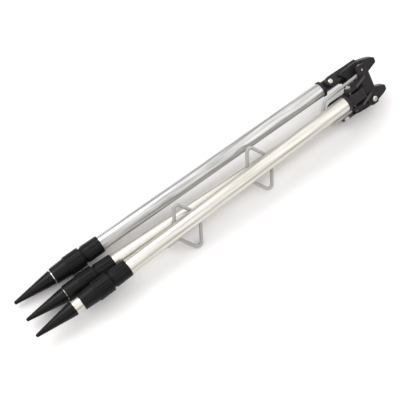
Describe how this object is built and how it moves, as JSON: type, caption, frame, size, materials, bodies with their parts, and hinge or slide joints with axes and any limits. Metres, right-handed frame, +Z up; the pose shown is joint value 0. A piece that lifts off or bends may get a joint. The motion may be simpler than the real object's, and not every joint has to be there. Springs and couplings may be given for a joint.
{
  "type": "folding fishing rod tripod",
  "caption": "Folded fishing rod tripod: telescopic aluminium legs with twist locks and spike feet, a black head with a two-horned rod fork, and swing-out wire rod rests.",
  "frame": {"origin": "middle of the folded footprint, on the table", "axes": "+X from the feet towards the fork, +Z up off the table"},
  "size_m": [0.633, 0.0988, 0.0743],
  "materials": {
    "black": "moulded, fine grain",
    "tube": "satin anodised",
    "screw": "bright plated",
    "wire": "light grey coating",
    "natural": "unpigmented"
  },
  "bodies": {
    "head": {"head_body": "black", "hinge_bolt_left": "screw", "hinge_bolt_right": "screw", "hinge_bolt_rear": "screw", "hinge_nut_left": "screw", "hinge_nut_right": "screw", "hinge_nut_rear": "screw", "pivot_screw_left": "screw", "pivot_screw_right": "screw"},
    "leg_left": {"hinge_plug_left": "black", "outer_tube_left": "tube", "lock_socket_left": "black", "lock_collet_left": "natural"},
    "lock_left": {"lock_nut_left": "black"},
    "slider_left": {"inner_tube_left": "tube", "guide_bush_left": "natural", "foot_spike_left": "black"},
    "leg_right": {"hinge_plug_right": "black", "outer_tube_right": "tube", "lock_socket_right": "black", "lock_collet_right": "natural"},
    "lock_right": {"lock_nut_right": "black"},
    "slider_right": {"inner_tube_right": "tube", "guide_bush_right": "natural", "foot_spike_right": "black"},
    "leg_rear": {"hinge_plug_rear": "black", "outer_tube_rear": "tube", "lock_socket_rear": "black", "lock_collet_rear": "natural"},
    "lock_rear": {"lock_nut_rear": "black"},
    "slider_rear": {"inner_tube_rear": "tube", "guide_bush_rear": "natural", "foot_spike_rear": "black"},
    "arm_left": {"rod_rest_left": "wire"},
    "arm_right": {"rod_rest_right": "wire"}
  },
  "joints": [
    {"name": "fold_left", "type": "hinge", "parent": "head", "child": "leg_left", "pos_m": [0.238, 0.02968, 0.04542], "axis": [0, 0.2756, -0.9613], "range_deg": [0, 24]},
    {"name": "twist_left", "type": "hinge", "parent": "leg_left", "child": "lock_left", "pos_m": [-0.21477, 0.0347, 0.01537], "axis": [0.9977, -0.0111, 0.0662], "range_deg": [0, 90]},
    {"name": "slide_left", "type": "slide", "parent": "leg_left", "child": "slider_left", "axis": [-0.9977, 0.0111, -0.0662], "range_m": [-0.0015, 0.2985]},
    {"name": "fold_right", "type": "hinge", "parent": "head", "child": "leg_right", "pos_m": [0.238, -0.0022, 0.0124], "axis": [0, -0.9703, 0.2419], "range_deg": [0, 24]},
    {"name": "twist_right", "type": "hinge", "parent": "leg_right", "child": "lock_right", "pos_m": [-0.21577, 0.00201, 0.0147], "axis": [0.9999, -0.0093, -0.0051], "range_deg": [0, 90]},
    {"name": "slide_right", "type": "slide", "parent": "leg_right", "child": "slider_right", "axis": [-0.9999, 0.0093, 0.0051], "range_m": [-0.0006, 0.2994]},
    {"name": "fold_rear", "type": "hinge", "parent": "head", "child": "leg_rear", "pos_m": [0.246, -0.01485, 0.05652], "axis": [0, 0.6947, 0.7193], "range_deg": [0, 24]},
    {"name": "twist_rear", "type": "hinge", "parent": "leg_rear", "child": "lock_rear", "pos_m": [-0.20686, -0.02415, 0.02896], "axis": [0.9979, 0.0205, 0.0607], "range_deg": [0, 90]},
    {"name": "slide_rear", "type": "slide", "parent": "leg_rear", "child": "slider_rear", "axis": [-0.9979, -0.0205, -0.0607], "range_m": [-0.012, 0.288]},
    {"name": "swing_left", "type": "hinge", "parent": "head", "child": "arm_left", "pos_m": [0.2858, 0.01367, 0.06303], "axis": [-0.0227, -0.7192, 0.6945], "range_deg": [-90, 0]},
    {"name": "swing_right", "type": "hinge", "parent": "head", "child": "arm_right", "pos_m": [0.2858, -0.02036, 0.02779], "axis": [0.0052, -0.7193, 0.6946], "range_deg": [0, 90]}
  ]
}
